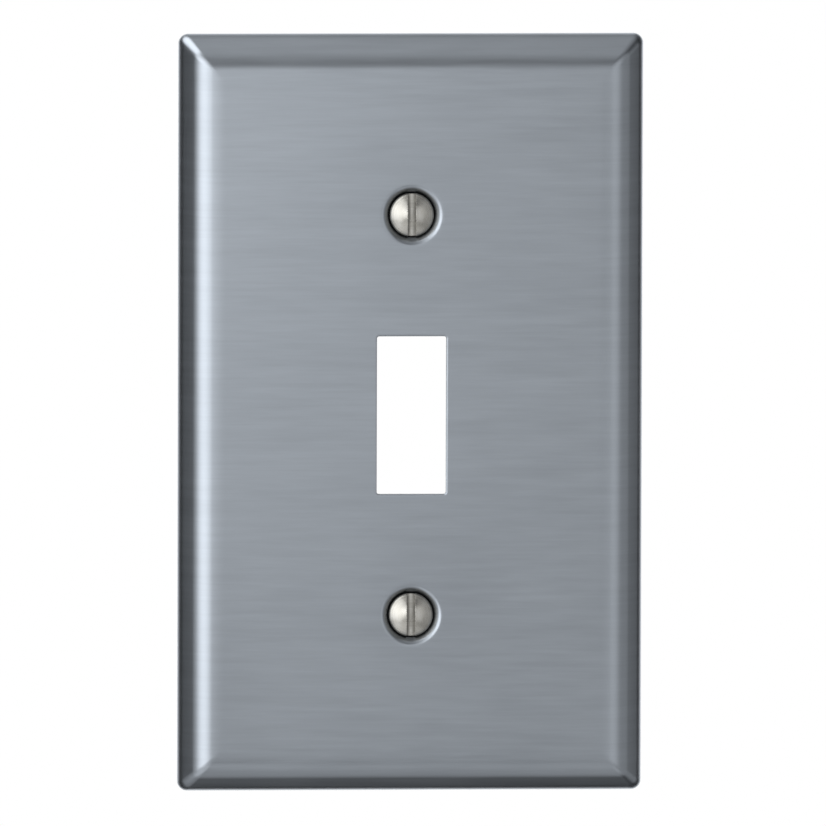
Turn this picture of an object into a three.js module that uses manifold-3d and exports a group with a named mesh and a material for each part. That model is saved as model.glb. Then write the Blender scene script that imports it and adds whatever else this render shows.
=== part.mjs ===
// Stamped steel wall plate for one toggle switch, with its two captive oval head screws.
// Millimetres. X is the width, Z the height. The wall is the plane y = 0 and the room lies at -Y.
// The origin is the middle of the plate in the plane of the wall.
import * as THREE from 'three';
import { ParametricGeometry } from 'three/addons/geometries/ParametricGeometry.js';
import { mergeVertices } from 'three/addons/utils/BufferGeometryUtils.js';
import Module from 'manifold-3d';

const wasm = await Module();
wasm.setup();

// The plate: a shallow pan of sheet steel, 2 3/4 by 4 1/2 inches.
const plateWidth = 69.85;
const plateHeight = 114.3;
const plateDepth = 4.8;
const sheet = 0.8;
const bendRadius = 4.2;
const flankAngle = THREE.MathUtils.degToRad(50);
const bendSteps = 7;
const lipRadius = 4;
const lipAngle = THREE.MathUtils.degToRad(78);
const lipSteps = 3;
const outlineCorner = 1.5;
const cornerTaper = 0.19;
const cornerSteps = 5;

// The toggle opening in the middle of the face.
const openingWidth = 10.4;
const openingHeight = 23.8;
const openingCorner = 0.35;
const openingCornerSteps = 3;

// The dimples that sink the screw heads, 2 3/8 inches apart.
const screwSpacing = 60.325;
const coneAngle = THREE.MathUtils.degToRad(41);
const dimpleMouth = 4.65;
const dimpleRoll = 0.93;
const rollSteps = 4;
const holeRadius = 2;
const holeLand = 0.6;
const dimpleWall = 0.75;

// The screws: number 6, 32 threads to the inch, half an inch long, slotted oval head. The thread and
// the cutters reach past the solids they join by the overlap.
const headRadius = 3.3;
const headLand = 0.15;
const headCrown = 1.1;
const crownSteps = 6;
const headGap = 0.2;
const slotWidth = 1.2;
const slotDepth = 1.35;
const screwLength = 12.7;
const neckRadius = 1.45;
const threadRadius = 1.75;
const threadRoot = 1.3;
const threadPitch = 25.4 / 32;
const threadRunout = 0.9;
const threadRise = 0.35;
const coreShoulder = 0.2;
const overlap = 0.05;
const tipChamfer = 0.6;

// The retainers: soft washers on the shanks that keep the screws from dropping out of the plate.
const retainerRadius = 4;
const retainerBore = 1.98;
const retainerThickness = 0.8;
const retainerFront = 0.9;
const retainerChamfer = 0.15;

const roundSteps = 32;
const threadSteps = 14;
const faceY = -plateDepth;

// A closed geometry becomes a solid: shared corners are joined and triangles with no area left out.
function solid(geometry) {
  const bare = geometry.clone();
  bare.deleteAttribute('normal');
  bare.deleteAttribute('uv');
  const joined = mergeVertices(bare, 1e-5);
  const corners = joined.index.array;
  const kept = [];
  for (let i = 0; i < corners.length; i += 3) {
    const [a, b, c] = corners.slice(i, i + 3);
    if (a !== b && b !== c && c !== a) kept.push(a, b, c);
  }
  return new wasm.Manifold(new wasm.Mesh({
    numProp: 3,
    vertProperties: new Float32Array(joined.attributes.position.array),
    triVerts: new Uint32Array(kept),
  }));
}

function geometryOf(body) {
  const mesh = body.getMesh();
  const geometry = new THREE.BufferGeometry();
  geometry.setAttribute('position', new THREE.BufferAttribute(new Float32Array(mesh.vertProperties), 3));
  geometry.setIndex(new THREE.BufferAttribute(new Uint32Array(mesh.triVerts), 1));
  geometry.computeVertexNormals();
  return geometry;
}

// A turned solid about the Y axis, from [radius, y] points that run from -Y to +Y.
function turned(profile) {
  return solid(new THREE.LatheGeometry(profile.map(([r, y]) => new THREE.Vector2(r, y)), roundSteps));
}

// Points on an arc of [radius, y] about a centre; the angle is 0 towards -Y and grows towards +X.
function arc([x, y], radius, from, to, steps) {
  return Array.from({ length: steps + 1 }, (_, i) => {
    const angle = from + ((to - from) * i) / steps;
    return [x + radius * Math.sin(angle), y - radius * Math.cos(angle)];
  });
}

// The outer skin of the rim in section, as [inset from the outline, y] from the edge of the flat
// face to the wall: a bend, a straight flank, and a curl that brings the lip down on the wall. A
// skin of sheet thickness behind it follows the same angles about the same centres.
function rimSkin(behind) {
  const curlInset = lipRadius * (Math.sin(lipAngle) - Math.sin(flankAngle));
  const curlDepth = lipRadius * (Math.cos(flankAngle) - Math.cos(lipAngle));
  const bendDepth = bendRadius * (1 - Math.cos(flankAngle));
  const flankInset = (plateDepth - bendDepth - curlDepth) / Math.tan(flankAngle);
  const faceInset = bendRadius * Math.sin(flankAngle) + flankInset + curlInset;
  const bend = arc([0, faceY + bendRadius], bendRadius - behind, 0, flankAngle, bendSteps)
    .map(([out, y]) => [faceInset - out, y]);
  const curlCentre = [-lipRadius * Math.sin(lipAngle), lipRadius * Math.cos(lipAngle)];
  const curl = arc(curlCentre, lipRadius - behind, flankAngle, lipAngle, lipSteps)
    .map(([out, y]) => [-out, y]);
  const foot = [behind / Math.sin(lipAngle), 0];
  return [...bend, ...curl.slice(0, -1), foot];
}

// The pan in section: from the middle of the back out along the inner skin to the lip, then along
// the outer skin to the middle of the face.
function panSection() {
  const middle = plateWidth / 2;
  return [
    [middle, faceY + sheet],
    ...rimSkin(sheet),
    ...rimSkin(0).reverse(),
    [middle, faceY],
  ];
}

// The corners of the outline moved in by an inset, rounded less the further in they are.
function outlinePoint(inset, step) {
  const radius = outlineCorner - cornerTaper * inset;
  const corner = Math.floor(step / (cornerSteps + 1)) % 4;
  const angle = (corner + (step % (cornerSteps + 1)) / cornerSteps) * Math.PI / 2;
  const sideX = corner === 0 || corner === 3 ? 1 : -1;
  const sideZ = corner < 2 ? 1 : -1;
  return [
    sideX * (plateWidth / 2 - inset - radius) + radius * Math.cos(angle),
    sideZ * (plateHeight / 2 - inset - radius) + radius * Math.sin(angle),
  ];
}

function pan() {
  const section = panSection();
  const around = 4 * (cornerSteps + 1);
  const last = section.length - 1;
  return solid(new ParametricGeometry((u, v, target) => {
    const row = Math.round(v * last);
    const [inset, y] = section[row];
    const [x, z] = row === 0 || row === last ? [0, 0] : outlinePoint(inset, Math.round(u * around) % around);
    target.set(x, y, z);
  }, around, last));
}

function toggleOpening() {
  const right = openingWidth / 2;
  const top = openingHeight / 2;
  const quarter = Math.PI / 2;
  const shape = new THREE.Shape();
  [[1, -1], [1, 1], [-1, 1], [-1, -1]].forEach(([sideX, sideZ], i) => {
    const centreX = sideX * (right - openingCorner);
    const centreZ = sideZ * (top - openingCorner);
    shape.absarc(centreX, centreZ, openingCorner, (i - 1) * quarter, i * quarter);
  });
  const settings = { depth: plateDepth, bevelEnabled: false, curveSegments: openingCornerSteps };
  const cutter = new THREE.ExtrudeGeometry(shape, settings);
  return solid(cutter.rotateX(Math.PI / 2).translate(0, faceY + plateDepth / 2, 0));
}

// The front of a dimple in section: it rolls over from the face, runs down the cone to the punched
// hole and ends behind the sheet.
function dimpleSection() {
  const slope = Math.PI / 2 - coneAngle;
  const roll = arc([dimpleMouth, faceY + dimpleRoll], dimpleRoll, 0, -slope, rollSteps);
  const [coneRadius, coneY] = roll[roll.length - 1];
  const holeY = coneY + (coneRadius - holeRadius) / Math.tan(coneAngle);
  return { roll, coneRadius, coneY, holeY, backY: holeY + holeLand };
}

function dimpleVoid() {
  const { roll, holeY, backY } = dimpleSection();
  const past = 1;
  return turned([
    [0, faceY - past],
    [dimpleMouth, faceY - past],
    ...roll,
    [holeRadius, holeY],
    [holeRadius, backY + past],
    [0, backY + past],
  ]);
}

function dimpleBoss() {
  const { backY } = dimpleSection();
  const inSheet = faceY + sheet / 2;
  const footRadius = holeRadius + dimpleWall;
  const topRadius = footRadius + (backY - inSheet) * Math.tan(coneAngle);
  return turned([[0, inSheet], [topRadius, inSheet], [footRadius, backY], [0, backY]]);
}

function wallPlate() {
  let plate = pan().subtract(toggleOpening());
  for (const side of [-1, 1]) {
    const along = [0, 0, (side * screwSpacing) / 2];
    plate = plate.add(dimpleBoss().translate(along)).subtract(dimpleVoid().translate(along));
  }
  return plate;
}

// One helical ridge wound from the start to past the end, with its two ends drawn to the axis.
// Rows follow the helix, so every crest and root is a clean edge.
function threadRidge(startY, endY) {
  const rowsAt = [0, 0.25, 0.5625, 0.6875];
  const rowRadius = [threadRoot, threadRoot, threadRadius, threadRadius];
  const turns = Math.ceil((endY - startY) / threadPitch) + 3;
  const rows = turns * rowsAt.length;
  return solid(new ParametricGeometry((u, v, target) => {
    const row = Math.round(v * rows);
    const step = row % rowsAt.length;
    const turn = Math.floor(row / rowsAt.length) + rowsAt[step] + u - 2;
    const y = startY + turn * threadPitch;
    const within = y > startY - threadPitch / 2 && y < endY + threadPitch / 2;
    const radius = within ? rowRadius[step] : 0;
    const height = THREE.MathUtils.clamp(y, startY - threadPitch / 2, endY + threadPitch / 2);
    const angle = Math.round(u * threadSteps) % threadSteps / threadSteps * 2 * Math.PI;
    target.set(radius * Math.cos(angle), height, -radius * Math.sin(angle));
  }, threadSteps, rows));
}

function screw() {
  const { coneRadius, coneY } = dimpleSection();
  // The head's cone lies one gap above the dimple's cone.
  const coneTopY = coneY - (headRadius + headGap / Math.cos(coneAngle) - coneRadius) / Math.tan(coneAngle);
  const edgeY = coneTopY - headLand;
  const neckY = coneTopY + (headRadius - neckRadius) / Math.tan(coneAngle);
  const tipY = edgeY + screwLength;
  const threadY = neckY + threadRunout;
  const domeRadius = (headRadius ** 2 + headCrown ** 2) / (2 * headCrown);
  const domeAngle = Math.asin(headRadius / domeRadius);
  const dome = arc([0, edgeY - headCrown + domeRadius], domeRadius, 0, domeAngle, crownSteps);
  const blank = turned([
    ...dome,
    [headRadius, coneTopY],
    [neckRadius, neckY],
    [neckRadius, threadY],
    [threadRoot - overlap, threadY + coreShoulder],
    [threadRoot - overlap, tipY],
    [0, tipY],
  ]);
  const envelope = turned([
    [0, threadY],
    [neckRadius, threadY],
    [threadRadius + overlap, threadY + threadRise],
    [threadRadius + overlap, tipY - tipChamfer],
    [threadRadius - tipChamfer, tipY],
    [0, tipY],
  ]);
  const slot = new THREE.BoxGeometry(slotWidth, slotDepth * 2, headRadius * 3);
  const slotCutter = solid(slot.translate(0, edgeY - headCrown, 0));
  return blank.add(threadRidge(threadY, tipY).intersect(envelope)).subtract(slotCutter);
}

function retainer() {
  const back = retainerThickness;
  return turned([
    [retainerBore, 0],
    [retainerRadius - retainerChamfer, 0],
    [retainerRadius, retainerChamfer],
    [retainerRadius, back - retainerChamfer],
    [retainerRadius - retainerChamfer, back],
    [retainerBore, back],
    [retainerBore, 0],
  ]);
}

function piece(name, body, material) {
  const mesh = new THREE.Mesh(geometryOf(body), material);
  mesh.name = name;
  return mesh;
}

const brushedSteel = new THREE.MeshStandardMaterial({ color: 0x9ba1a8, roughness: 0.38, metalness: 1 });
const nickelSteel = new THREE.MeshStandardMaterial({ color: 0xc4c2ba, roughness: 0.3, metalness: 1 });
const nylon = new THREE.MeshStandardMaterial({ color: 0xe6e1d3, roughness: 0.55, metalness: 0 });

const group = new THREE.Group();
group.add(piece('wall_plate', wallPlate(), brushedSteel));
for (const [name, side] of [['upper', 1], ['lower', -1]]) {
  const fastener = new THREE.Group();
  fastener.position.z = (side * screwSpacing) / 2;
  const washer = piece(`${name}_screw_retainer`, retainer(), nylon.clone());
  washer.position.y = retainerFront;
  fastener.add(piece(`${name}_screw`, screw(), nickelSteel.clone()), washer);
  group.add(fastener);
}

export default group;
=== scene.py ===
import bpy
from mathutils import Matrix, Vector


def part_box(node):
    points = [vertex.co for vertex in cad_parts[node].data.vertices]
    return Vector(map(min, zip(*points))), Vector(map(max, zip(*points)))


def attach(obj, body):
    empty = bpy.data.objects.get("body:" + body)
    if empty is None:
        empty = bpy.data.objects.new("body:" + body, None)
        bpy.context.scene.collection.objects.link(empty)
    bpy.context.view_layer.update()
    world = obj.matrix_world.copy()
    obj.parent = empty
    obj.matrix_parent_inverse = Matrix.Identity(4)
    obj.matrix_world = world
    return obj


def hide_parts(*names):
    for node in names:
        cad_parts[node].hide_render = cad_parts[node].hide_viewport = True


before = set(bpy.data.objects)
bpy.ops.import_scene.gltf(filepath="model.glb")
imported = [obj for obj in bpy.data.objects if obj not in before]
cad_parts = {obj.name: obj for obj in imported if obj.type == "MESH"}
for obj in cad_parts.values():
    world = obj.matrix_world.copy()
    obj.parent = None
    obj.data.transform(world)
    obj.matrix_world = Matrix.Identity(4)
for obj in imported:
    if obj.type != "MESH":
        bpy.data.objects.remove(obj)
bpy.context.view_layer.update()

# a brushed steel wall plate for one toggle switch, with two captive oval head screws
from math import asin, atan, cos, pi, radians, sin, tan

import bmesh
import bpy
from mathutils import Matrix, Vector

mm = 0.001
tiny = 0.001 * mm
weld = 0.0005 * mm                      # points nearer than this become one
sharpFrom = radians(35)                 # edges that turn more than this are shaded sharp
noiseSpan = (0.3, 0.7)                  # where most of a noise texture's values lie
intoWall = Vector((0, 1, 0))
across = Vector((1, 0, 0))
upward = Vector((0, 0, 1))


def newPiece(name, bm, materials):
    bmesh.ops.remove_doubles(bm, verts=bm.verts, dist=weld)
    mesh = bpy.data.meshes.new(name)
    bm.to_mesh(mesh)
    bm.free()
    for material in materials:
        mesh.materials.append(material)
    mesh.shade_smooth()
    mesh.set_sharp_from_angle(angle=sharpFrom)
    piece = bpy.data.objects.new(name, mesh)
    bpy.context.scene.collection.objects.link(piece)
    return piece


def arcPoints(centre, radius, start, end, steps):
    # [across, y] on an arc; the angle is 0 towards the room and grows outwards
    angles = [start + (end - start) * i / steps for i in range(steps + 1)]
    return [(centre[0] + radius * sin(a), centre[1] - radius * cos(a)) for a in angles]


def spinProfile(bm, points, centre, steps):
    # turn [radius, y] points about an axis that runs into the wall through centre
    verts = [bm.verts.new((centre.x + r, y, centre.z)) for r, y in points]
    edges = [bm.edges.new(pair) for pair in zip(verts, verts[1:])]
    bmesh.ops.spin(bm, geom=verts + edges, cent=centre, axis=intoWall,
                   angle=2 * pi, steps=steps, use_merge=True)


def openEdges(bm, test=lambda middle: True):
    return [e for e in bm.edges
            if e.is_boundary and test((e.verts[0].co + e.verts[1].co) / 2)]


class Signal:
    # a shader socket that takes part in ordinary arithmetic
    def __init__(self, socket):
        self.socket = socket

    def make(self, kind, settings=None, inputs=None, output=0):
        tree = self.socket.id_data
        node = tree.nodes.new(kind)
        for name, value in (settings or {}).items():
            setattr(node, name, value)
        for name, value in (inputs or {}).items():
            if isinstance(value, Signal):
                tree.links.new(value.socket, node.inputs[name])
            else:
                node.inputs[name].default_value = value
        return Signal(node.outputs[output])

    def math(self, operation, *others):
        values = dict(enumerate((self, *others)))
        return self.make("ShaderNodeMath", {"operation": operation}, values)

    def __add__(self, other):
        return self.math("ADD", other)

    def __radd__(self, other):
        return self.math("ADD", other)

    def __sub__(self, other):
        return self.math("SUBTRACT", other)

    def __rsub__(self, other):
        return self.make("ShaderNodeMath", {"operation": "SUBTRACT"}, {0: other, 1: self})

    def __mul__(self, other):
        return self.math("MULTIPLY", other)

    def __rmul__(self, other):
        return self.math("MULTIPLY", other)

    def clamped(self):
        return self.make("ShaderNodeClamp", None, {"Value": self})

    def ranged(self, low, high, toLow=0.0, toHigh=1.0):
        limits = {"Value": self, "From Min": low, "From Max": high, "To Min": toLow, "To Max": toHigh}
        return self.make("ShaderNodeMapRange", {"interpolation_type": "SMOOTHSTEP"}, limits)

    def stretched(self, scale, move=(0, 0, 0)):
        return self.make("ShaderNodeMapping", None, {"Vector": self, "Scale": scale, "Location": move})

    def noise(self, scale, detail=2, roughness=0.5):
        inputs = {"Vector": self, "Scale": scale, "Detail": detail, "Roughness": roughness}
        return self.make("ShaderNodeTexNoise", None, inputs)

    def blend(self, low, high):
        # the colour sockets of a Mix node are its 6th and 7th, and its colour output the 2nd
        low, high = [end if isinstance(end, Signal) else (*end, 1) for end in (low, high)]
        return self.make("ShaderNodeMix", {"data_type": "RGBA"}, {0: self, 6: low, 7: high}, 2)


def newMaterial(name, fixed):
    material = bpy.data.materials.new(name)
    material.use_nodes = True
    nodes = material.node_tree.nodes
    shader = nodes["Principled BSDF"]
    for socket, value in fixed.items():
        shader.inputs[socket].default_value = value
    place = Signal(nodes.new("ShaderNodeTexCoord").outputs["Object"])
    return material, shader, place


def connect(shader, **signals):
    tree = shader.id_data
    for name, signal in signals.items():
        socket = {"colour": "Base Color", "roughness": "Roughness", "normal": "Normal"}[name]
        tree.links.new(signal.socket, shader.inputs[socket])


def bumped(height, distance):
    return height.make("ShaderNodeBump", None, {"Height": height, "Distance": distance})


def mixed(shares, *signals):
    # each signal times its share, added up
    weighted = [share * signal for share, signal in zip(shares, signals)]
    return sum(weighted[1:], weighted[0])


def fromAxis(place, axis):
    # how far a point lies from an axis that runs into the wall
    flat = place.stretched((1, 0, 1), move=(-axis.x, 0, -axis.z))
    return flat.make("ShaderNodeVectorMath", {"operation": "LENGTH"}, {0: flat}, "Value")


brushedLook = {
    "dark": (0.485, 0.53, 0.585),
    "light": (0.57, 0.622, 0.685),
    "tone": (0.24, 0.76),               # a wider span makes a quieter grain
    "roughness": 0.30,
    "roughnessSpread": 0.017,
    "roughnessShares": (0.6, 0.4),      # coarse grain, clouds
    "fineGrain": (150, 150, 3000),      # lines per metre along the grain, into the wall, across it
    "coarseGrain": (75, 75, 1250),
    "longGrain": (24, 24, 420),
    "coarseShift": (3.1, 0.4, 7.7),     # the shifts keep the grains from lining up
    "longShift": (5.3, 2.4, 1.9),
    "grainShares": (0.25, 0.45, 0.30),  # fine, coarse, long
    "clouds": 38,
    "cloudShares": (0.8, 0.2),          # grain, clouds
    "grainDepth": 0.0007 * mm,
    "depthShares": (0.7, 0.3),          # fine, coarse
    "countersinkPaintedShade": (0.29, 0.31, 0.33),        # painted shade in a ring round each countersink, where the head shades the cone
    "shadeRadii": (3.85 * mm, 4.35 * mm),
    "shadePatches": (0.1, 0.6, 0.7, 1.0),   # grain from and to, strength from and to
}


def brushedSteel(axes):
    look = brushedLook
    material, shader, place = newMaterial("brushed stainless steel", {"Metallic": 1.0})
    fine = place.stretched(look["fineGrain"]).noise(1, roughness=0.6)
    coarse = place.stretched(look["coarseGrain"], look["coarseShift"]).noise(1, detail=3, roughness=0.6)
    long = place.stretched(look["longGrain"], look["longShift"]).noise(1)
    cloud = place.noise(look["clouds"])
    grain = mixed(look["grainShares"], fine, coarse, long)
    tone = mixed(look["cloudShares"], grain, cloud).ranged(*look["tone"])
    colour = tone.blend(look["dark"], look["light"])
    # painted shade: the steel darkens in patches within about 4.3 mm of each screw's axis, over the
    # countersink
    for axis in axes:
        ring = fromAxis(place, axis).ranged(*look["shadeRadii"], 1, 0)
        colour = (ring * coarse.ranged(*look["shadePatches"])).blend(colour, look["countersinkPaintedShade"])
    swing = (-look["roughnessSpread"], look["roughnessSpread"])
    unevenness = [source.ranged(*noiseSpan, *swing) for source in (coarse, cloud)]
    rough = mixed(look["roughnessShares"], *unevenness) + look["roughness"]
    grooves = bumped(mixed(look["depthShares"], fine, coarse), look["grainDepth"])
    connect(shader, colour=colour, roughness=rough, normal=grooves)
    return material


millLook = {
    "dark": (0.60, 0.62, 0.635),
    "light": (0.70, 0.715, 0.73),
    "tone": (0.36, 0.64),
    "toneShares": (0.5, 0.2, 0.3),      # rolling lines, speckle, clouds
    "roughness": 0.55,
    "roughnessSwing": (-0.06, 0.08),
    "rolling": (14, 14, 900),           # lines per metre along the sheet, into the wall, across it
    "speckle": 2600,
    "clouds": 55,
    "pitDepth": 0.004 * mm,
    "pitShares": (0.6, 0.4),            # speckle, rolling lines
}


def millSteel():
    # the back of the sheet as the rolling mill left it: greyer, softer, with faint rolling lines
    look = millLook
    material, shader, place = newMaterial("mill finished steel", {"Metallic": 1.0})
    rolling = place.stretched(look["rolling"]).noise(1, detail=3, roughness=0.6)
    speckle = place.noise(look["speckle"], roughness=0.6)
    cloud = place.noise(look["clouds"], detail=3)
    tone = mixed(look["toneShares"], rolling, speckle, cloud).ranged(*look["tone"])
    rough = cloud.ranged(*noiseSpan, *look["roughnessSwing"]) + look["roughness"]
    pits = bumped(mixed(look["pitShares"], speckle, rolling), look["pitDepth"])
    connect(shader, colour=tone.blend(look["dark"], look["light"]), roughness=rough, normal=pits)
    return material


nickelLook = {
    "dark": (0.56, 0.545, 0.50),
    "light": (0.80, 0.79, 0.75),
    # the near-black tone below is painted shade for the screw's crevices
    "creviceShade": (0.16, 0.155, 0.14),
    "tone": (0.33, 0.67),
    "toneShares": (0.35, 0.35, 0.3),    # turning rings, scuffs, clouds
    "roughness": 0.27,
    "roughnessSwing": (0.3, 0.75, -0.05, 0.12),     # scuffs from and to, roughness from and to
    "turningRings": 9000,
    "scuffs": 900,
    "clouds": 420,
    "turningDepth": 0.0035 * mm,
    "depthShares": (0.7, 0.3),          # turning rings, scuffs
    # the next four set the painted crevice shade: its patches, its strength at the head's edge, its
    # cover, and the roughness it adds
    "creviceShadePatches": (0.2, 0.55, 0.3, 1.0),           # scuffs from and to, strength from and to
    "headEdgeShade": 0.75,
    "creviceShadeCover": 0.7,
    "creviceShadeRoughness": 0.25,
}


def nickelPlating(name, axis, marks):
    # the turning marks run round the screw's axis
    look = nickelLook
    material, shader, place = newMaterial(name, {"Metallic": 1.0})
    local = place.stretched((1, 1, 1), move=(-axis.x, 0, -axis.z))
    x = local.make("ShaderNodeSeparateXYZ", None, {"Vector": local}, "X")
    y = local.make("ShaderNodeSeparateXYZ", None, {"Vector": local}, "Y")
    radius = fromAxis(place, axis)
    ringPlace = radius.make("ShaderNodeCombineXYZ", None, {"X": radius, "Y": y})
    rings = ringPlace.noise(look["turningRings"], roughness=0.6)
    scuffs = local.noise(look["scuffs"], detail=3, roughness=0.6)
    cloud = local.noise(look["clouds"])
    tone = mixed(look["toneShares"], rings, scuffs, cloud).ranged(*look["tone"])
    plated = tone.blend(look["dark"], look["light"])
    # painted shade: darker in the roots of the thread, round the head's edge and in the corners of the
    # slot
    inRoots = radius.ranged(*marks["roots"], 1, 0) * y.ranged(*marks["behindHead"])
    onEdge = radius.ranged(*marks["edge"])
    aside = x.math("ABSOLUTE")
    atSlotSides = aside.ranged(*marks["slotSides"]) * aside.math("LESS_THAN", marks["slotHalf"])
    atSlotFloor = y.ranged(*marks["slotDepths"]) * y.math("LESS_THAN", marks["slotFloor"])
    shadedHollows = inRoots + atSlotSides * atSlotFloor
    creviceShadeMask = (shadedHollows * scuffs.ranged(*look["creviceShadePatches"]) + onEdge * look["headEdgeShade"]).clamped()
    colour = (creviceShadeMask * look["creviceShadeCover"]).blend(plated, look["creviceShade"])
    rough = scuffs.ranged(*look["roughnessSwing"]) + creviceShadeMask * look["creviceShadeRoughness"] + look["roughness"]
    turned = bumped(mixed(look["depthShares"], rings, scuffs), look["turningDepth"])
    connect(shader, colour=colour, roughness=rough, normal=turned)
    return material


nylonLook = {
    "dark": (0.66, 0.62, 0.50),
    "light": (0.82, 0.79, 0.69),
    "tone": (0.33, 0.67),
    "toneShares": (0.4, 0.6),           # mould grain, flow
    "roughness": 0.48,
    "roughnessSwing": (-0.05, 0.08),
    "mouldGrain": 3200,
    "mouldDepth": 0.008 * mm,
    "flow": (500, 900, 500),
    "glow": 0.15,                       # share of light that goes into the nylon and out again
    "glowDepth": 0.6 * mm,
    "refraction": 1.53,
}


def naturalNylon():
    look = nylonLook
    fixed = {"Subsurface Weight": look["glow"], "Subsurface Scale": look["glowDepth"],
             "IOR": look["refraction"]}
    material, shader, place = newMaterial("natural nylon", fixed)
    grain = place.noise(look["mouldGrain"], detail=3, roughness=0.6)
    flow = place.stretched(look["flow"]).noise(1)
    tone = mixed(look["toneShares"], grain, flow).ranged(*look["tone"])
    rough = grain.ranged(*noiseSpan, *look["roughnessSwing"]) + look["roughness"]
    connect(shader, colour=tone.blend(look["dark"], look["light"]),
            roughness=rough, normal=bumped(grain, look["mouldDepth"]))
    return material


plate = {
    "sheet": 0.8 * mm,
    "bendRadius": 4.2 * mm,
    "bendSteps": 14,
    "easeRadius": 24 * mm,              # the pressed face lifts very slightly before the bend
    "easeAngle": radians(4),
    "easeSteps": 4,
    "flankAngle": radians(50),
    "lipRadius": 4 * mm,
    "lipAngle": radians(78),
    "lipSteps": 6,
    "lipEdge": 0.16 * mm,
    "outlineCorner": 1.5 * mm,
    "cornerTaper": 0.19,
    "cornerSteps": 8,
    "openingWidth": 10.4 * mm,
    "openingHeight": 23.8 * mm,
    "openingCorner": 0.35 * mm,
    "punchRoll": 0.16 * mm,
    "coneAngle": radians(41),
    "dimpleMouth": 4.65 * mm,
    "dimpleRoll": 0.93 * mm,
    "dimpleFillet": 0.8 * mm,
    "dimpleWall": 0.75 * mm,
    "rollSteps": 8,
    "dimpleSteps": 72,
    "holeRadius": 2 * mm,
    "holeLand": 0.6 * mm,
    "holeEdge": 0.07 * mm,
    "edgeSegments": 3,
    "holeSegments": 2,
    "flatMargin": 0.35 * mm,            # narrow strips that keep the face's shading flat
    "frontFacing": -0.05,               # a face turned further to the room than this is brushed
}

plateLow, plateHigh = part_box("wall_plate")
faceY = plateLow.y
wallY = plateHigh.y
screwNames = ["upper_screw", "lower_screw"]
screwAxes = []
for screwName in screwNames:
    low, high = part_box(screwName)
    screwAxes.append(Vector((0, 0, (low.z + high.z) / 2)))


def roundedRing(bm, size, y):
    # a loop of edges round a rectangle; size is half width, half height, corner radius
    halfWidth, halfHeight, rounding = size
    place = (Matrix.Translation((0, y, 0)) @ Matrix.Rotation(radians(90), 4, "X")
             @ Matrix.Diagonal((halfWidth, halfHeight, 1, 1)))
    corners = bmesh.ops.create_grid(bm, x_segments=1, y_segments=1, size=1, matrix=place)["verts"]
    rounded = bmesh.ops.bevel(bm, geom=corners, offset=rounding, offset_type="OFFSET",
                              segments=plate["cornerSteps"], profile=0.5, material=-1,
                              affect="VERTICES")["verts"]
    face = rounded[0].link_faces[0]
    edges = face.edges[:]
    bmesh.ops.delete(bm, geom=[face], context="FACES_ONLY")
    return edges


def nextRing(bm, edges, size, newSize, newY):
    # draw the loop out to another size and depth, keeping its corners round
    drawn = bmesh.ops.extrude_edge_only(bm, edges=edges)["geom"]
    corner = Vector((size[0] - size[2], 0, size[1] - size[2]))
    newCorner = Vector((newSize[0] - newSize[2], 0, newSize[1] - newSize[2]))
    for v in [g for g in drawn if isinstance(g, bmesh.types.BMVert)]:
        sides = Vector((1 if v.co.x > 0 else -1, 0, 1 if v.co.z > 0 else -1))
        spoke = Vector((v.co.x, 0, v.co.z)) - corner * sides
        v.co = newCorner * sides + spoke * (newSize[2] / size[2]) + intoWall * newY
    return [g for g in drawn if isinstance(g, bmesh.types.BMEdge) and g.is_boundary]


def drawRings(bm, sizes, depths):
    # a wall through rounded rectangles of these sizes, each at its own depth
    edges = roundedRing(bm, sizes[0], depths[0])
    for size, newSize, newY in zip(sizes, sizes[1:], depths[1:]):
        edges = nextRing(bm, edges, size, newSize, newY)


def rimSkin(behind):
    # [inset, y] from the flat of the face to the wall, for the skin that lies this far behind
    flank = plate["flankAngle"]
    lip = plate["lipAngle"]
    bend = plate["bendRadius"]
    curl = plate["lipRadius"]
    ease = plate["easeRadius"]
    eased = plate["easeAngle"]
    bendCentre = ((ease - bend) * sin(eased), faceY + ease - (ease - bend) * cos(eased))
    curlInset = curl * (sin(lip) - sin(flank))
    curlDepth = curl * (cos(flank) - cos(lip))
    flankDepth = wallY - curlDepth - (bendCentre[1] - bend * cos(flank))
    faceInset = bendCentre[0] + bend * sin(flank) + flankDepth / tan(flank) + curlInset
    curlCentre = (-curl * sin(lip), wallY + curl * cos(lip))
    easeArc = arcPoints((0, faceY + ease), ease - behind, 0, eased, plate["easeSteps"])
    bendArc = arcPoints(bendCentre, bend - behind, eased, flank, plate["bendSteps"])
    lipArc = arcPoints(curlCentre, curl - behind, flank, lip, plate["lipSteps"])
    rim = [(faceInset - out, y) for out, y in easeArc[:-1] + bendArc]
    rim += [(-out, y) for out, y in lipArc[:-1]]
    return [(faceInset + plate["flatMargin"], faceY + behind)] + rim + [(behind / sin(lip), wallY)]


def outlineSize(inset):
    rounding = plate["outlineCorner"] - plate["cornerTaper"] * inset
    return plateHigh.x - inset, plateHigh.z - inset, rounding


def openingSize(grown):
    halves = (plate["openingWidth"] / 2 + grown, plate["openingHeight"] / 2 + grown)
    return *halves, plate["openingCorner"] + grown


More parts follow.
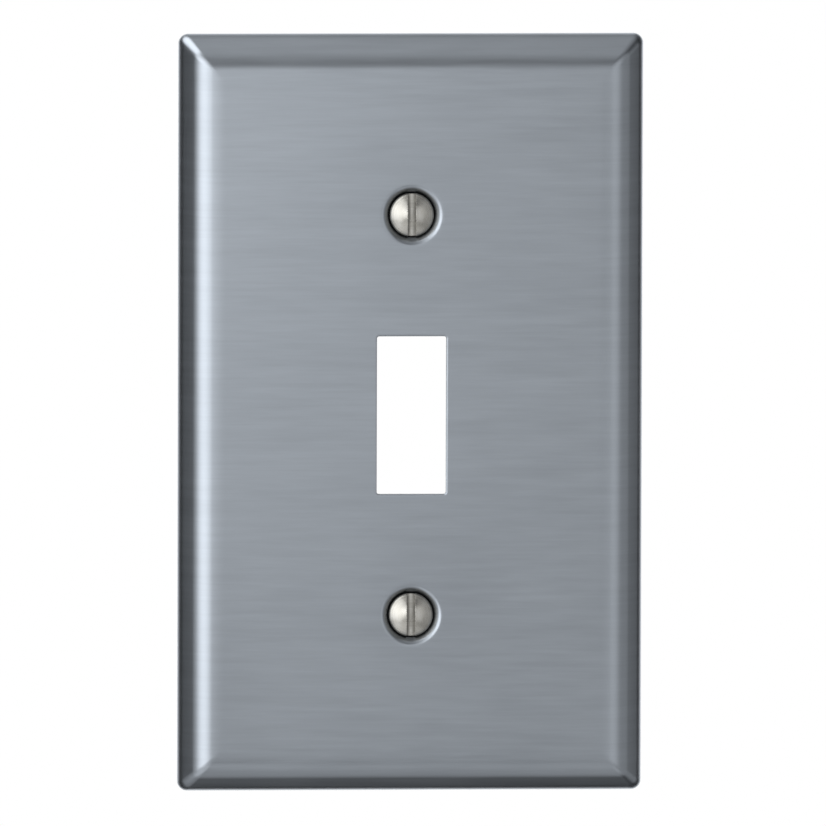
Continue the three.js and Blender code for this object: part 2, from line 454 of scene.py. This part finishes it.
def dimpleProfile():
    # [radius, y]: collar and roll of the front, cone, punched land, and back up behind the sheet
    cone = plate["coneAngle"]
    slope = pi / 2 - cone
    roll = plate["dimpleRoll"]
    front = arcPoints((plate["dimpleMouth"], faceY + roll), roll, 0, -slope, plate["rollSteps"])
    coneRadius, coneY = front[-1]
    hole = plate["holeRadius"]
    holeY = coneY + (coneRadius - hole) / tan(cone)
    backY = holeY + plate["holeLand"]
    foot = hole + plate["dimpleWall"]
    fillet = plate["dimpleFillet"]
    behindY = faceY + plate["sheet"]
    mouthBehind = foot + (backY - behindY) * tan(cone) + fillet * tan(slope / 2)
    back = arcPoints((mouthBehind, behindY + fillet), fillet, 0, -slope, plate["rollSteps"])
    margin = plate["flatMargin"]
    punched = [(hole, holeY), (hole, backY), (foot, backY)]
    return ([(front[0][0] + margin, faceY)] + front + punched + back[::-1]
            + [(back[0][0] + margin, behindY)])


def bevelEdges(bm, edges, width, segments):
    bmesh.ops.bevel(bm, geom=edges, offset=width, offset_type="OFFSET", segments=segments,
                    profile=0.5, material=-1, affect="EDGES", clamp_overlap=True)


def edgesThrough(bm, test):
    return [e for e in bm.edges if all(test(v.co) for v in e.verts)]


def buildPlate():
    bm = bmesh.new()
    sheet = plate["sheet"]
    margin = plate["flatMargin"]
    rim = rimSkin(0) + rimSkin(sheet)[::-1]
    drawRings(bm, [outlineSize(inset) for inset, y in rim], [y for inset, y in rim])
    through = [(margin, faceY), (0, faceY), (0, faceY + sheet), (margin, faceY + sheet)]
    drawRings(bm, [openingSize(grown) for grown, y in through], [y for grown, y in through])
    for axis in screwAxes:
        spinProfile(bm, dimpleProfile(), axis, plate["dimpleSteps"])
    bmesh.ops.remove_doubles(bm, verts=bm.verts, dist=weld)
    for y in (faceY, faceY + sheet):
        loops = openEdges(bm, lambda middle: abs(middle.y - y) < tiny)
        bmesh.ops.triangle_fill(bm, edges=loops, use_beauty=True)
    bmesh.ops.recalc_face_normals(bm, faces=bm.faces)
    lipEdges = edgesThrough(bm, lambda co: abs(co.y - wallY) < tiny)
    bevelEdges(bm, lipEdges, plate["lipEdge"], plate["edgeSegments"])
    halfWidth = plate["openingWidth"] / 2 + tiny
    halfHeight = plate["openingHeight"] / 2 + tiny
    for y, width in ((faceY, plate["punchRoll"]), (faceY + sheet, plate["holeEdge"])):
        punched = edgesThrough(bm, lambda co: abs(co.y - y) < tiny and abs(co.x) < halfWidth
                               and abs(co.z) < halfHeight)
        bevelEdges(bm, punched, width, plate["edgeSegments"])
    backY = max(y for radius, y in dimpleProfile())
    landEdges = edgesThrough(bm, lambda co: abs(co.y - backY) < tiny)
    bevelEdges(bm, landEdges, plate["holeEdge"], plate["holeSegments"])
    for face in bm.faces:
        face.normal_update()
        face.material_index = 0 if face.normal.y < plate["frontFacing"] else 1
    piece = newPiece("stamped_plate", bm, [brushedSteel(screwAxes), millSteel()])
    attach(piece, "plate")
    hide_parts("wall_plate")


buildPlate()
print("plate built")


screw = {
    "headRadius": 3.3 * mm,
    "headLand": 0.15 * mm,
    "headCrown": 1.1 * mm,
    "domeSteps": 14,
    "edgeRounding": 0.06 * mm,
    "edgeSlope": 0.45,                  # rise over run where the dome meets the rounded edge
    "headEdgeShade": (0.3 * mm, 0.09 * mm),  # painted shade from nothing to full, measured in from the head's edge
    "coneAngle": radians(41),
    "slotWidth": 1.2 * mm,
    "slotDepth": 1.35 * mm,
    "slotEdge": 0.06 * mm,
    "slotSegments": 2,
    "slotSideShade": (-0.2, 0.95),       # painted shade from nothing to full, in parts of half the slot's width
    "slotFloorShade": (0.7, 0.2),        # the same painted shade above the floor, in parts of the slot's depth
    "length": 12.7 * mm,
    "neckRadius": 1.45 * mm,
    "threadRadius": 1.75 * mm,
    "rootRadius": 1.3 * mm,
    "pitch": 25.4 / 32 * mm,
    "rootFillet": 0.02 * mm,
    "crestRounding": 0.03 * mm,
    "toothTurns": (0, 0.06, 0.40, 0.44, 0.52, 0.56, 0.90, 0.96, 1),     # bends of one pitch's section
    "leadIn": 1.5,                      # pitches swept ahead of the neck and cut off again
    "spareTurns": 4,
    "fadeStep": 0.03 * mm,              # the first crest starts this far inside the neck
    "fadeSlope": 0.45,
    "runout": 0.9 * mm,
    "neckGap": 0.05 * mm,               # bridged between the neck and the first turn
    # painted shade in the thread's roots grows to full over this distance behind the neck
    "behindHeadShade": 1 * mm,
    "tipChamfer": 0.6 * mm,
    "roundSteps": 72,
    "threadSteps": 36,
}


def screwHead(bm, axis, edgeY, neckEndY):
    radius = screw["headRadius"]
    crown = screw["headCrown"]
    small = screw["edgeRounding"]
    domeRadius = (radius ** 2 + crown ** 2) / (2 * crown)
    dome = arcPoints((0, edgeY - crown + domeRadius), domeRadius, 0, asin(radius / domeRadius),
                     screw["domeSteps"])
    coneTopY = edgeY + screw["headLand"]
    neck = screw["neckRadius"]
    neckY = coneTopY + (radius - neck) / tan(screw["coneAngle"])
    dome[-1] = (radius - small, edgeY - small * screw["edgeSlope"])
    profile = dome + [(radius, edgeY + small), (radius, coneTopY - small),
                      (radius - small, coneTopY + small), (neck + small, neckY - small),
                      (neck, neckY + small), (neck, neckEndY)]
    spinProfile(bm, profile, axis, screw["roundSteps"])
    bmesh.ops.remove_doubles(bm, verts=bm.verts, dist=tiny)


def cutFaces(bm, faces, point, normal, clearOuter=False):
    # bisect these faces alone, along a plane
    geometry = set(faces)
    for face in faces:
        geometry.update(face.edges)
        geometry.update(face.verts)
    bmesh.ops.bisect_plane(bm, geom=list(geometry), dist=weld, plane_co=point, plane_no=normal,
                           clear_outer=clearOuter)


def cutSlot(bm, floorY):
    # returns the edges round the slot's two side walls
    half = screw["slotWidth"] / 2
    near = 5 * tiny
    for side in (-half, half):
        high = [f for f in bm.faces if min(v.co.y for v in f.verts) < floorY]
        cutFaces(bm, high, across * side, across)
    between = [f for f in bm.faces if abs(f.calc_center_median().x) < half
               and min(v.co.y for v in f.verts) < floorY]
    cutFaces(bm, between, intoWall * floorY, intoWall)
    removed = [f for f in bm.faces if abs(f.calc_center_median().x) < half
               and f.calc_center_median().y < floorY]
    bmesh.ops.delete(bm, geom=removed, context="FACES")
    floorEdges = [e for e in bm.edges if e.is_boundary
                  and all(abs(v.co.y - floorY) < near and abs(v.co.x) < half + near for v in e.verts)]
    topEdges = []
    for side in (-half, half):
        wall = [e for e in bm.edges if e.is_boundary
                and all(abs(v.co.x - side) < near and v.co.y < floorY + near for v in e.verts)]
        corners = [v for v in {v for e in wall for v in e.verts} if abs(v.co.y - floorY) < near]
        bottom = bm.edges.new(corners)
        floorEdges.append(bottom)
        topEdges += wall
        bmesh.ops.contextual_create(bm, geom=wall + [bottom])
    bmesh.ops.contextual_create(bm, geom=floorEdges)
    bmesh.ops.recalc_face_normals(bm, faces=bm.faces)
    return topEdges


def threadedShank(bm, axis, startY, tipY):
    # one pitch of the thread's section, swept along a helix; its turns merge into one skin
    root = screw["rootRadius"]
    crest = screw["threadRadius"]
    pitch = screw["pitch"]
    steps = screw["threadSteps"]
    lowFlank = root + screw["rootFillet"]
    highFlank = crest - screw["crestRounding"]
    radii = (root, lowFlank, highFlank, crest, crest, highFlank, lowFlank, root, root)
    firstY = startY - screw["leadIn"] * pitch
    section = zip(radii, screw["toothTurns"])
    verts = [bm.verts.new((r, firstY + turn * pitch, axis.z)) for r, turn in section]
    edges = [bm.edges.new(pair) for pair in zip(verts, verts[1:])]
    turns = int((tipY - startY) / pitch) + screw["spareTurns"]
    before = set(bm.faces)
    bmesh.ops.spin(bm, geom=verts + edges, cent=axis, axis=intoWall, dvec=intoWall * pitch / steps,
                   angle=2 * pi * turns, steps=steps * turns, use_merge=False)
    swept = [f for f in bm.faces if f not in before]
    bmesh.ops.remove_doubles(bm, verts=list({v for f in swept for v in f.verts}), dist=2 * tiny)
    for y, normal in ((startY, -intoWall), (tipY, intoWall)):
        swept = [f for f in bm.faces if f not in before]
        cutFaces(bm, swept, intoWall * y, normal, clearOuter=True)
    shank = {v for f in bm.faces if f not in before for v in f.verts}
    # the crests fade out towards the neck and are chamfered at the tip
    for v in shank:
        spoke = Vector((v.co.x - axis.x, 0, v.co.z - axis.z))
        fromNeck = screw["neckRadius"] - screw["fadeStep"] + (v.co.y - startY) * screw["fadeSlope"]
        fromTip = crest - screw["tipChamfer"] + (tipY - v.co.y)
        limit = min(fromNeck, fromTip)
        if spoke.length > limit:
            v.co -= spoke * (1 - limit / spoke.length)


def buildScrew(name, body, axis):
    low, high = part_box(name)
    tipY = high.y
    edgeY = tipY - screw["length"]
    floorY = edgeY - screw["headCrown"] + screw["slotDepth"]
    coneDepth = (screw["headRadius"] - screw["neckRadius"]) / tan(screw["coneAngle"])
    neckY = edgeY + screw["headLand"] + coneDepth
    threadY = neckY + screw["runout"]
    bm = bmesh.new()
    screwHead(bm, axis, edgeY, threadY - screw["neckGap"])
    topEdges = cutSlot(bm, floorY)
    threadedShank(bm, axis, threadY, tipY)
    joint = openEdges(bm, lambda middle: middle.y < threadY + tiny)
    bmesh.ops.bridge_loops(bm, edges=joint)
    tip = openEdges(bm, lambda middle: middle.y > tipY - tiny)
    bmesh.ops.contextual_create(bm, geom=tip)
    bmesh.ops.recalc_face_normals(bm, faces=bm.faces)
    bevelEdges(bm, [e for e in topEdges if e.is_valid], screw["slotEdge"],
               screw["slotSegments"])
    halfSlot = screw["slotWidth"] / 2
    # where the painted crevice shade lies on this screw
    marks = {
        "roots": (screw["rootRadius"], screw["threadRadius"]),
        "behindHead": (neckY, neckY + screw["behindHeadShade"]),
        "edge": [screw["headRadius"] - inset for inset in screw["headEdgeShade"]],
        "slotSides": [part * halfSlot for part in screw["slotSideShade"]],
        "slotHalf": halfSlot + tiny,
        "slotDepths": [floorY - part * screw["slotDepth"] for part in screw["slotFloorShade"]],
        "slotFloor": floorY + tiny,
    }
    finish = nickelPlating(name + " nickel", axis, marks)
    piece = newPiece(name + "_turned", bm, [finish])
    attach(piece, body)
    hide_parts(name)


for screwName, body, axis in zip(screwNames, ["upper_fastener", "lower_fastener"], screwAxes):
    buildScrew(screwName, body, axis)
print("screws built")


retainer = {
    "innerRadius": 2.55 * mm,
    "fingerReach": 1.8 * mm,            # radius of the fingers' tips, a hair outside the thread
    "fingers": 6,
    "fingerFaces": 5,
    "edge": 0.1 * mm,
    "edgeSegments": 2,
    "sharpFrom": radians(50),           # edges that turn more than this are rounded
    "roundSteps": 72,
}


def buildRetainer(name, body, axis):
    low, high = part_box(name)
    outer = (high.x - low.x) / 2
    inner = retainer["innerRadius"]
    bm = bmesh.new()
    spinProfile(bm, [(inner, low.y), (outer, low.y), (outer, high.y), (inner, high.y), (inner, low.y)],
                axis, retainer["roundSteps"])
    bmesh.ops.remove_doubles(bm, verts=bm.verts, dist=tiny)
    bmesh.ops.recalc_face_normals(bm, faces=bm.faces)
    bore = []
    for face in bm.faces:
        spoke = face.calc_center_median() - axis
        spoke.y = 0
        if spoke.length < inner + tiny:
            bore.append((upward.angle(spoke) * (1 if spoke.x > 0 else -1), face))
    bore = [face for angle, face in sorted(bore, key=lambda pair: pair[0])]
    spacing = len(bore) // retainer["fingers"]
    for first in range(0, len(bore), spacing):
        root = bore[first:first + retainer["fingerFaces"]]
        grown = bmesh.ops.extrude_face_region(bm, geom=root)["geom"]
        bmesh.ops.delete(bm, geom=root, context="FACES")
        for v in [g for g in grown if isinstance(g, bmesh.types.BMVert)]:
            spoke = Vector((v.co.x - axis.x, 0, v.co.z - axis.z))
            v.co -= spoke * (1 - retainer["fingerReach"] / spoke.length)
    bmesh.ops.recalc_face_normals(bm, faces=bm.faces)
    sharp = [e for e in bm.edges
             if len(e.link_faces) == 2 and e.calc_face_angle() > retainer["sharpFrom"]]
    bevelEdges(bm, sharp, retainer["edge"], retainer["edgeSegments"])
    piece = newPiece(name + "_moulded", bm, [nylon])
    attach(piece, body)
    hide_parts(name)


nylon = naturalNylon()
for screwName, body, axis in zip(screwNames, ["upper_retainer", "lower_retainer"], screwAxes):
    buildRetainer(screwName + "_retainer", body, axis)
print("retainers built")


studio = {
    "azimuth": -3,                      # degrees, minus is to the left of straight on
    "elevation": 6,
    "distance": 4,
    "frameHeight": 0.124,               # metres seen at the plate
    "aim": (0.00035, 0, 0.0001),
    "floorDrop": 0.55,
    "floorSize": 6,
    "floorColour": (0.85, 0.85, 0.85, 1),
    "floorGlow": 0.4,
    "floorRoughness": 0.9,
    "surround": 0.025,                  # light from everywhere, besides the panels
    "keyPlace": (-0.076, -0.444, 0.02), # a near light, so that the face falls off from its upper left
    "keySize": 0.163,
    "keyPower": 0.056,
    "sensor": 36,
    "farthest": 100,
}

# soft panels all round the plate: azimuth, elevation, half angles of core and edge, strength
panels = {
    "left window": (-40, 10, 2, 41, 1.35),
    "upper left corner": (-87, 54, 18, 32, 1.51),
    "front": (23, 1, 2, 35, 0.31),
    "overhead": (148, 101, 15, 63, 0.35),
    "right wall": (55, -13, 43, 51, 0.28),
    "floor bounce": (-24, -61, 20, 49, 0.35),
    "front fill": (-47, -18, 39, 47, 0.36),
    "room behind": (180, 0, 25, 58, 1.2),
}


def direction(azimuth, elevation):
    turn, lift = radians(azimuth), radians(elevation)
    return Vector((sin(turn) * cos(lift), -cos(turn) * cos(lift), sin(lift)))


def softSurround():
    world = bpy.data.worlds.new("studio")
    world.use_nodes = True
    bpy.context.scene.world = world
    nodes = world.node_tree.nodes
    background = nodes["Background"]
    towards = Signal(nodes.new("ShaderNodeTexCoord").outputs["Generated"])
    glows = []
    for azimuth, elevation, inner, outer, strength in panels.values():
        facing = towards.make("ShaderNodeVectorMath", {"operation": "DOT_PRODUCT"},
                              {0: towards, 1: direction(azimuth, elevation)}, "Value")
        glows.append(facing.ranged(cos(radians(outer)), cos(radians(inner))) * strength)
    light = sum(glows, studio["surround"])
    seen = light.make("ShaderNodeLightPath", None, None, "Is Camera Ray")
    # the camera sees plain white behind the plate, while the plate is lit by the panels
    level = seen + (1 - seen) * light
    world.node_tree.links.new(level.socket, background.inputs["Strength"])
    background.inputs["Color"].default_value = (1, 1, 1, 1)


def paleFloor():
    bm = bmesh.new()
    bmesh.ops.create_grid(bm, x_segments=1, y_segments=1, size=studio["floorSize"] / 2)
    bmesh.ops.translate(bm, verts=bm.verts, vec=(0, 0, plateLow.z - studio["floorDrop"]))
    mesh = bpy.data.meshes.new("floor")
    bm.to_mesh(mesh)
    bm.free()
    fixed = {"Base Color": studio["floorColour"], "Emission Color": studio["floorColour"],
             "Emission Strength": studio["floorGlow"], "Roughness": studio["floorRoughness"]}
    mesh.materials.append(newMaterial("pale floor", fixed)[0])
    floor = bpy.data.objects.new("floor", mesh)
    bpy.context.scene.collection.objects.link(floor)
    floor.visible_glossy = False


def nearLight():
    light = bpy.data.lights.new("key", "AREA")
    light.size = studio["keySize"]
    light.energy = studio["keyPower"]
    key = bpy.data.objects.new("key", light)
    key.location = studio["keyPlace"]
    key.rotation_euler = (-key.location).to_track_quat("-Z", "Y").to_euler()
    key.visible_camera = False
    bpy.context.scene.collection.objects.link(key)


def aimCamera():
    camera = bpy.data.objects.new("camera", bpy.data.cameras.new("camera"))
    bpy.context.scene.collection.objects.link(camera)
    target = Vector(studio["aim"]) + Vector((0, (faceY + wallY) / 2, 0))
    back = direction(studio["azimuth"], studio["elevation"])
    camera.location = target + back * studio["distance"]
    # seen askew, the plate's level edges and its uprights lean apart; half a lean of roll shares it out
    lean = atan(tan(radians(studio["azimuth"])) * sin(radians(studio["elevation"])))
    roll = Matrix.Rotation(-lean / 2, 4, "Z")
    camera.rotation_euler = ((-back).to_track_quat("-Z", "Y").to_matrix().to_4x4() @ roll).to_euler()
    camera.data.sensor_width = studio["sensor"]
    camera.data.lens = studio["sensor"] * studio["distance"] / studio["frameHeight"]
    camera.data.clip_end = studio["farthest"]
    bpy.context.scene.camera = camera


softSurround()
nearLight()
paleFloor()
aimCamera()
bpy.context.scene.view_settings.view_transform = "Standard"
print("studio set")
